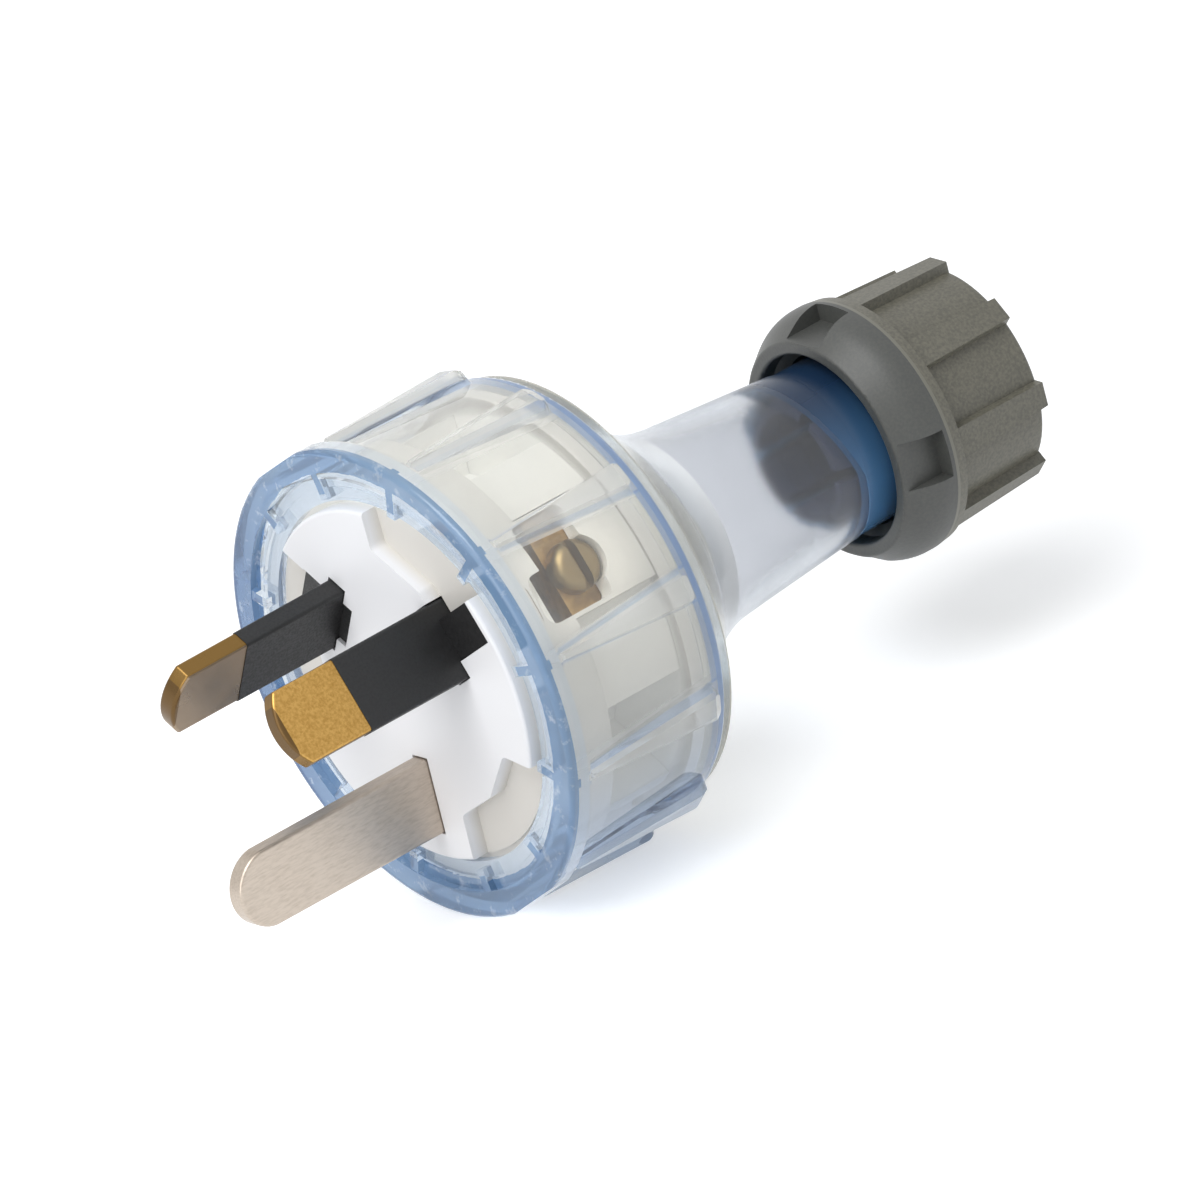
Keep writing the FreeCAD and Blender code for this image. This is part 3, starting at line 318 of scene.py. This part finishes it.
# Sleeves: black nylon moulded round the roots of the live pins, so that a finger can't touch
# live metal while the plug is half out. Their faces have a leathery grain and a low sheen.
SLEEVE_BLACK = "#161617"
SLEEVE_GRIT = 0.2 * MM
SLEEVE_HEIGHT = 0.02 * MM
black_nylon, tree, shader = finish("moulded_black_nylon")
place = add(tree, "ShaderNodeTexCoord").outputs["Object"]
grit = add(tree, "ShaderNodeTexNoise", {"Vector": place, "Scale": 1 / SLEEVE_GRIT, "Detail": 3})
rough = add(tree, "ShaderNodeMapRange", {"Value": grit.outputs[0], "From Min": 0.35,
                                         "From Max": 0.65, "To Min": 0.4, "To Max": 0.6})
bump = add(tree, "ShaderNodeBump", {"Height": grit.outputs[0], "Strength": 0.2,
                                    "Distance": SLEEVE_HEIGHT})
tree.links.new(rough.outputs[0], shader.inputs["Roughness"])
tree.links.new(bump.outputs[0], shader.inputs["Normal"])
shader.inputs["Base Color"].default_value = linear(SLEEVE_BLACK)
shader.inputs["IOR"].default_value = 1.53
wear("active_sleeve", black_nylon)
wear("neutral_sleeve", black_nylon)


# Terminals: short brass blocks, sawn and drilled. They sit in the base's wells and have gone
# golden brown. Each clamps its wire with a turned screw of greyer, dull brass.
BLOCK_BRASS = "#c5a26a"
BLOCK_DARK = "#8a6d42"
SCREW_BRASS = "#937f5a"
STAIN_PATCH = 1.5 * MM
block_brass, tree, shader = finish("sawn_terminal_brass")
place = add(tree, "ShaderNodeTexCoord").outputs["Object"]
stain = add(tree, "ShaderNodeTexNoise", {"Vector": place, "Scale": 1 / STAIN_PATCH, "Detail": 4})
tone = add(tree, "ShaderNodeMapRange", {"Value": stain.outputs[0], "From Min": 0.35,
                                        "From Max": 0.65})
colour = add(tree, "ShaderNodeMix", {"Factor": tone.outputs[0], 6: linear(BLOCK_DARK),
                                     7: linear(BLOCK_BRASS)}, data_type="RGBA")
tree.links.new(colour.outputs[2], shader.inputs["Base Color"])
shader.inputs["Metallic"].default_value = 1
shader.inputs["Roughness"].default_value = 0.42
# The screws are smoother than the blocks, so each head shows one soft highlight.
screw_brass, tree, shader = finish("turned_dull_brass")
shader.inputs["Base Color"].default_value = linear(SCREW_BRASS)
shader.inputs["Metallic"].default_value = 1
shader.inputs["Roughness"].default_value = 0.33
for name in ("active", "neutral", "earth"):
    wear(name + "_terminal", block_brass)
    wear(name + "_screw", screw_brass)


# Drum: the ribbed ring that the fingers hold, moulded in clear polycarbonate. Its panels look warm
# white, from the base behind them. The front face and the rear rim are painted blue, as light piped
# along the wall, and the edges of the ribs carry painted pale blue highlights.
CLEAR_INDEX = 1.15
GLOSS_INDEX = 1.58
BLUE_TINT = "#59aad4"
TINT_DENSITY = 16.0
FILM_TINT = "#fcfdfe"
FLOW_WAVE = 4.0 * MM
FLOW_HEIGHT = 0.15 * MM


def clear_finish(name, roughness):
    # Tinted clear plastic under a gloss. Rays to the lamps go straight through it. The gloss has
    # polycarbonate's own index. The body's is lower, so it bends what lies behind it less, and
    # the collet shows through the neck as a dark shape.
    material, tree, shader = finish(name)
    shader.inputs["Roughness"].default_value = roughness
    shader.inputs["IOR"].default_value = CLEAR_INDEX
    shader.inputs["Coat Weight"].default_value = 1.0
    shader.inputs["Coat Roughness"].default_value = 0.05
    shader.inputs["Coat IOR"].default_value = GLOSS_INDEX
    place = add(tree, "ShaderNodeTexCoord").outputs["Object"]
    flow = add(tree, "ShaderNodeTexNoise", {"Vector": place, "Scale": 1 / FLOW_WAVE, "Detail": 1})
    bump = add(tree, "ShaderNodeBump", {"Height": flow.outputs[0], "Strength": 0.25,
                                        "Distance": FLOW_HEIGHT})
    tree.links.new(bump.outputs[0], shader.inputs["Normal"])
    path = add(tree, "ShaderNodeLightPath")
    film = add(tree, "ShaderNodeBsdfTransparent", {"Color": linear(FILM_TINT)})
    mixed = add(tree, "ShaderNodeMixShader", {0: path.outputs["Is Shadow Ray"],
                                              1: shader.outputs[0], 2: film.outputs[0]})
    tint = add(tree, "ShaderNodeVolumeAbsorption", {"Color": linear(BLUE_TINT),
                                                    "Density": TINT_DENSITY})
    output = tree.nodes["Material Output"]
    tree.links.new(mixed.outputs[0], output.inputs["Surface"])
    tree.links.new(tint.outputs[0], output.inputs["Volume"])
    return material, tree, shader, place


# The painted blue ring of piped light in the front face isn't quite concentric with the drum.
PANEL_WHITE = "#e9e8e4"
PANEL_LOW_SHADE = "#c6d4e5"
LIP_WHITE = "#dde6f0"
WINDOW_WHITE = "#fbfaf6"
FACE_PIPED_LIGHT = "#6c90b8"
FACE_DEEP_PIPED_LIGHT = "#486d9e"
RIM_PIPED_LIGHT = "#93abcc"
SCUFF_PALE = "#b9cae0"
EDGE_HIGHLIGHT = "#c6d3e6"
PANEL_CLEAR = 0.82
RIB_CLEAR = 0.7
WINDOW_CLEAR = 0.98
RING_CLEAR = 0.45
RING_INSIDE = 17.35 * MM
RING_CENTRE = (0, 0.60 * MM, 0.81 * MM)
RING_WAVER = 0.35 * MM
WAVER_SIZE = 1.2 * MM
SCUFF_SIZE = 1.6 * MM
SCUFF_FROM = 0.56
SCUFF_TO = 0.72
FACE_DEPTH = 0.7 * MM
DEEP_FULL = -17.0 * MM
DEEP_START = -9.0 * MM
TOOTH_INSIDE = 16.2 * MM
TOOTH_DEPTH = 0.95 * MM
TOOTH_HALF = 0.4 * MM
BAND_REAR = -1.8 * MM
RIM_FRONT = -16.3 * MM
RIB_TURN = math.radians(15)
RIB_HALF_FRONT = 0.45 * MM
RIB_HALF_REAR = 1.45 * MM
RIB_END = -16.2 * MM
EDGE_HALF = 0.14 * MM
EDGE_HIGH = 18.0 * MM
EDGE_LOW = 12.0 * MM
EDGE_FAINTEST = 0.25
WALL_INSIDE = 17.8 * MM
WINDOW_TURN = math.radians(30)
WINDOW_SPACING = math.radians(60)
WINDOW_MIDDLE = -7.8 * MM
WINDOW_NEAR = 3.6 * MM
WINDOW_FAR = 6.5 * MM
LOW_START = -5.0 * MM
LOW_END = -17.0 * MM

clear_blue, tree, shader, place = clear_finish("clear_blue_polycarbonate", 0.03)
axis, across, radius = from_axis(tree, place)
along = axis.outputs["X"]
bearing = add(tree, "ShaderNodeMath", {0: axis.outputs["Z"], 1: axis.outputs["Y"]},
              operation="ARCTAN2").outputs[0]
# Distance from the nearest rib's middle line, measured round the drum.
turn = add(tree, "ShaderNodeMath", {0: bearing, 1: RIB_TURN}, operation="SUBTRACT")
turn = add(tree, "ShaderNodeMath", {0: turn.outputs[0], 1: RIB_TURN}, operation="PINGPONG")
off_rib = add(tree, "ShaderNodeMath", {0: turn.outputs[0], 1: radius},
              operation="MULTIPLY").outputs[0]
# The front face outside the ring's wavering inner line, and the teeth: where the piped light is
# painted blue.
waver = add(tree, "ShaderNodeTexNoise", {"Vector": place, "Scale": 1 / WAVER_SIZE, "Detail": 3})
ring = add(tree, "ShaderNodeVectorMath", {0: across.outputs[0], 1: RING_CENTRE},
           operation="DISTANCE")
ring = add(tree, "ShaderNodeMath", {0: waver.outputs[0], 1: RING_WAVER, 2: ring.outputs["Value"]},
           operation="MULTIPLY_ADD")
ring = add(tree, "ShaderNodeMath", {0: ring.outputs[0], 1: RING_INSIDE + RING_WAVER / 2},
           operation="GREATER_THAN")
near = add(tree, "ShaderNodeMath", {0: along, 1: 0, 2: FACE_DEPTH}, operation="COMPARE")
ring = add(tree, "ShaderNodeMath", {0: ring.outputs[0], 1: near.outputs[0]}, operation="MULTIPLY")
near = add(tree, "ShaderNodeMath", {0: along, 1: 0, 2: TOOTH_DEPTH}, operation="COMPARE")
tooth = add(tree, "ShaderNodeMath", {0: radius, 1: TOOTH_INSIDE}, operation="GREATER_THAN")
tooth = add(tree, "ShaderNodeMath", {0: tooth.outputs[0], 1: near.outputs[0]}, operation="MULTIPLY")
close = add(tree, "ShaderNodeMath", {0: off_rib, 1: TOOTH_HALF}, operation="LESS_THAN")
tooth = add(tree, "ShaderNodeMath", {0: tooth.outputs[0], 1: close.outputs[0]},
            operation="MULTIPLY")
face = add(tree, "ShaderNodeMath", {0: ring.outputs[0], 1: tooth.outputs[0]}, operation="MAXIMUM")
# Painted pale blue highlights along the ribs' edges on the outside of the wall. They fade towards
# the top, where the light washes them out.
half = add(tree, "ShaderNodeMapRange", {"Value": along, "From Min": RIB_END, "From Max": BAND_REAR,
                                        "To Min": RIB_HALF_REAR, "To Max": RIB_HALF_FRONT})
edge = add(tree, "ShaderNodeMath", {0: off_rib, 1: half.outputs[0], 2: EDGE_HALF},
           operation="COMPARE")
outside = add(tree, "ShaderNodeMath", {0: radius, 1: WALL_INSIDE}, operation="GREATER_THAN")
edge = add(tree, "ShaderNodeMath", {0: edge.outputs[0], 1: outside.outputs[0]},
           operation="MULTIPLY")
behind = add(tree, "ShaderNodeMath", {0: along, 1: BAND_REAR}, operation="LESS_THAN")
edge = add(tree, "ShaderNodeMath", {0: edge.outputs[0], 1: behind.outputs[0]}, operation="MULTIPLY")
fade = add(tree, "ShaderNodeMapRange", {"Value": axis.outputs["Z"], "From Min": EDGE_HIGH,
                                        "From Max": EDGE_LOW, "To Min": EDGE_FAINTEST})
edge = add(tree, "ShaderNodeMath", {0: edge.outputs[0], 1: fade.outputs[0]}, operation="MULTIPLY")
# Painted piped light: the rear rim is blue.
painted_rim = add(tree, "ShaderNodeMath", {0: along, 1: RIM_FRONT}, operation="LESS_THAN")
# In front of each terminal's window the wall is clearer and whiter, so the brass shows clearly.
turn = add(tree, "ShaderNodeMath", {0: bearing, 1: WINDOW_TURN}, operation="SUBTRACT")
turn = add(tree, "ShaderNodeMath", {0: turn.outputs[0], 1: WINDOW_SPACING}, operation="PINGPONG")
aside = add(tree, "ShaderNodeMath", {0: turn.outputs[0], 1: radius}, operation="MULTIPLY")
ahead = add(tree, "ShaderNodeMath", {0: along, 1: WINDOW_MIDDLE}, operation="SUBTRACT")
off_window = add(tree, "ShaderNodeCombineXYZ", {"X": ahead.outputs[0], "Y": aside.outputs[0]})
off_window = add(tree, "ShaderNodeVectorMath", {0: off_window.outputs[0]}, operation="LENGTH")
window = add(tree, "ShaderNodeMapRange", {"Value": off_window.outputs["Value"],
                                          "From Min": WINDOW_FAR, "From Max": WINDOW_NEAR})
clear = add(tree, "ShaderNodeMapRange", {"Value": window.outputs[0], "To Min": PANEL_CLEAR,
                                         "To Max": WINDOW_CLEAR})
# Towards the bottom the panels are painted a bluish shade, and the ribs are milkier than the
# panels, which paints them as pale bars in place of their highlights.
painted_low = add(tree, "ShaderNodeMapRange", {"Value": axis.outputs["Z"], "From Min": LOW_START,
                                       "From Max": LOW_END})
rib = add(tree, "ShaderNodeMath", {0: off_rib, 1: half.outputs[0]}, operation="LESS_THAN")
rib = add(tree, "ShaderNodeMath", {0: rib.outputs[0], 1: behind.outputs[0]}, operation="MULTIPLY")
clear = add(tree, "ShaderNodeMix", {"Factor": rib.outputs[0], 2: clear.outputs[0], 3: RIB_CLEAR})
piped = add(tree, "ShaderNodeMath", {0: face.outputs[0], 1: painted_rim.outputs[0]}, operation="MAXIMUM")
clear = add(tree, "ShaderNodeMix", {"Factor": piped.outputs[0], 2: clear.outputs[0], 3: RING_CLEAR})
colour = add(tree, "ShaderNodeMix", {"Factor": painted_low.outputs[0], 6: linear(PANEL_WHITE),
                                     7: linear(PANEL_LOW_SHADE)}, data_type="RGBA")
colour = add(tree, "ShaderNodeMix", {"Factor": window.outputs[0], 6: colour.outputs[2],
                                     7: linear(WINDOW_WHITE)}, data_type="RGBA")
colour = add(tree, "ShaderNodeMix", {"Factor": edge.outputs[0], 6: colour.outputs[2],
                                     7: linear(EDGE_HIGHLIGHT)}, data_type="RGBA")
# The lip over the base is a cooler white. The ring's painted piped light is deeper blue on the
# neutral pin's side, with pale scuffs.
lip = add(tree, "ShaderNodeMath", {0: along, 1: BAND_REAR}, operation="GREATER_THAN")
colour = add(tree, "ShaderNodeMix", {"Factor": lip.outputs[0], 6: colour.outputs[2],
                                     7: linear(LIP_WHITE)}, data_type="RGBA")
scuff = add(tree, "ShaderNodeTexNoise", {"Vector": place, "Scale": 1 / SCUFF_SIZE, "Detail": 6,
                                         "Roughness": 0.7})
scuff = add(tree, "ShaderNodeMapRange", {"Value": scuff.outputs[0], "From Min": SCUFF_FROM,
                                         "From Max": SCUFF_TO})
painted_deep = add(tree, "ShaderNodeMapRange", {"Value": axis.outputs["Y"], "From Min": DEEP_START,
                                        "From Max": DEEP_FULL})
painted_blue = add(tree, "ShaderNodeMix", {"Factor": painted_deep.outputs[0], 6: linear(FACE_PIPED_LIGHT),
                                   7: linear(FACE_DEEP_PIPED_LIGHT)}, data_type="RGBA")
painted_blue = add(tree, "ShaderNodeMix", {"Factor": scuff.outputs[0], 6: painted_blue.outputs[2],
                                   7: linear(SCUFF_PALE)}, data_type="RGBA")
colour = add(tree, "ShaderNodeMix", {"Factor": face.outputs[0], 6: colour.outputs[2],
                                     7: painted_blue.outputs[2]}, data_type="RGBA")
colour = add(tree, "ShaderNodeMix", {"Factor": painted_rim.outputs[0], 6: colour.outputs[2],
                                     7: linear(RIM_PIPED_LIGHT)}, data_type="RGBA")
tree.links.new(colour.outputs[2], shader.inputs["Base Color"])
tree.links.new(clear.outputs[0], shader.inputs["Transmission Weight"])
wear("clear_drum", clear_blue)


# Neck: the tapered half that screws into the drum and guides the cord. It is the same clear
# polycarbonate, but its core pin left a matt bore, so what lies inside it looks milky. Its wide
# root looks cream, from the cover behind it, and its threaded end is painted deep blue, as light
# piped along the wall, with painted shade darkening it towards the top.
NECK_WHITE = "#dedfe2"
ROOT_CREAM = "#efece2"
THREAD_PIPED_LIGHT = "#5d8fbd"
THREAD_PAINTED_SHADE = "#26405f"
ROOT_REAR = -23.5 * MM
ROOT_WAVER = 5.0 * MM
ROOT_WAVER_SIZE = 6.0 * MM
ROOT_FADE = 0.6 * MM
THREAD_FRONT = -41.9 * MM
NECK_CLEAR = 0.97
ROOT_CLEAR = 0.75
THREAD_CLEAR = 0.35
THREAD_LEAN = 0.3
THREAD_TOP = 6.5 * MM
THREAD_LOW = -1.0 * MM
hazy_blue, tree, shader, place = clear_finish("hazy_blue_polycarbonate", 0.25)
axis = add(tree, "ShaderNodeSeparateXYZ", {0: place})
along = axis.outputs["X"]
waver = add(tree, "ShaderNodeTexNoise", {"Vector": place, "Scale": 1 / ROOT_WAVER_SIZE,
                                         "Detail": 2})
edge = add(tree, "ShaderNodeMath", {0: waver.outputs[0], 1: ROOT_WAVER, 2: along},
           operation="MULTIPLY_ADD")
root = add(tree, "ShaderNodeMapRange", {"Value": edge.outputs[0],
                                        "From Min": ROOT_REAR + ROOT_WAVER / 2,
                                        "From Max": ROOT_REAR + ROOT_WAVER / 2 + ROOT_FADE})
above = add(tree, "ShaderNodeMath", {0: axis.outputs["Z"], 1: 0}, operation="MAXIMUM")
front = add(tree, "ShaderNodeMath", {0: above.outputs[0], 1: THREAD_LEAN, 2: THREAD_FRONT},
            operation="MULTIPLY_ADD")
thread = add(tree, "ShaderNodeMath", {0: along, 1: front.outputs[0]}, operation="LESS_THAN")
# The threaded end's painted piped light, darker towards the top as painted shade.
drop = add(tree, "ShaderNodeMapRange", {"Value": axis.outputs["Z"], "From Min": THREAD_TOP,
                                        "From Max": THREAD_LOW})
painted_blue = add(tree, "ShaderNodeMix", {"Factor": drop.outputs[0], 6: linear(THREAD_PAINTED_SHADE),
                                   7: linear(THREAD_PIPED_LIGHT)}, data_type="RGBA")
colour = add(tree, "ShaderNodeMix", {"Factor": root.outputs[0], 6: linear(NECK_WHITE),
                                     7: linear(ROOT_CREAM)}, data_type="RGBA")
colour = add(tree, "ShaderNodeMix", {"Factor": thread.outputs[0], 6: colour.outputs[2],
                                     7: painted_blue.outputs[2]}, data_type="RGBA")
clear = add(tree, "ShaderNodeMix", {"Factor": root.outputs[0], 2: NECK_CLEAR, 3: ROOT_CLEAR})
clear = add(tree, "ShaderNodeMix", {"Factor": thread.outputs[0], 2: clear.outputs[0],
                                    3: THREAD_CLEAR})
tree.links.new(colour.outputs[2], shader.inputs["Base Color"])
tree.links.new(clear.outputs[0], shader.inputs["Transmission Weight"])
shader.inputs["Coat Weight"].default_value = 0.5
shader.inputs["Coat Roughness"].default_value = 0.25
wear("clear_neck", hazy_blue)


# Collet: the slotted sleeve inside the neck's throat, in grey nylon, painted charcoal with a blue
# cast as the shade inside the throat. The nut draws its fingers on to the cord. Seen through the
# neck it is a dark shape with soft rims.
COLLET_THROAT_SHADE = "#1d2a44"
collet_nylon, tree, shader = finish("collet_nylon_painted_shade")
shader.inputs["Base Color"].default_value = linear(COLLET_THROAT_SHADE)
shader.inputs["Roughness"].default_value = 0.8
wear("grip_collet", collet_nylon)


# Gland nut: moulded grey nylon with ribs for the fingers. The surface is matt from the tool's spark
# texture, drawn coarser than the real one so that it shows. The crest of the bell carries a thin
# painted highlight, and the bell itself is painted darker and bluer, as shade with a bluish sheen.
NUT_GREY = "#626056"
NUT_PALE = "#757265"
NUT_CREST_HIGHLIGHT = "#7d7b70"
NUT_BELL_SHADE = "#484b4c"
NUT_GRIT = 0.25 * MM
NUT_HEIGHT = 0.04 * MM
CREST_PLACE = -48.1 * MM
CREST_HALF = 0.15 * MM
CREST_RADIUS = 10.45 * MM
BELL_SHADE_SHARE = 0.75
grey_nylon, tree, shader = finish("moulded_grey_nylon")
place = add(tree, "ShaderNodeTexCoord").outputs["Object"]
grit = add(tree, "ShaderNodeTexNoise", {"Vector": place, "Scale": 1 / NUT_GRIT, "Detail": 3})
tone = add(tree, "ShaderNodeMapRange", {"Value": grit.outputs[0], "From Min": 0.35,
                                        "From Max": 0.65})
colour = add(tree, "ShaderNodeMix", {"Factor": tone.outputs[0], 6: linear(NUT_GREY),
                                     7: linear(NUT_PALE)}, data_type="RGBA")
axis, across, radius = from_axis(tree, place)
# A painted highlight along the bell's crest; painted shade with a bluish sheen over the bell.
painted_crest = add(tree, "ShaderNodeMath", {0: axis.outputs["X"], 1: CREST_PLACE, 2: CREST_HALF},
            operation="COMPARE")
high = add(tree, "ShaderNodeMath", {0: radius, 1: CREST_RADIUS}, operation="GREATER_THAN")
painted_crest = add(tree, "ShaderNodeMath", {0: painted_crest.outputs[0], 1: high.outputs[0]}, operation="MULTIPLY")
painted_bell = add(tree, "ShaderNodeMath", {0: axis.outputs["X"], 1: CREST_PLACE}, operation="GREATER_THAN")
painted_bell = add(tree, "ShaderNodeMath", {0: painted_bell.outputs[0], 1: BELL_SHADE_SHARE}, operation="MULTIPLY")
colour = add(tree, "ShaderNodeMix", {"Factor": painted_bell.outputs[0], 6: colour.outputs[2],
                                     7: linear(NUT_BELL_SHADE)}, data_type="RGBA")
colour = add(tree, "ShaderNodeMix", {"Factor": painted_crest.outputs[0], 6: colour.outputs[2],
                                     7: linear(NUT_CREST_HIGHLIGHT)}, data_type="RGBA")
bump = add(tree, "ShaderNodeBump", {"Height": grit.outputs[0], "Strength": 0.35,
                                    "Distance": NUT_HEIGHT})
tree.links.new(colour.outputs[2], shader.inputs["Base Color"])
tree.links.new(bump.outputs[0], shader.inputs["Normal"])
shader.inputs["Roughness"].default_value = 0.42
shader.inputs["IOR"].default_value = 1.53
wear("gland_nut", grey_nylon)
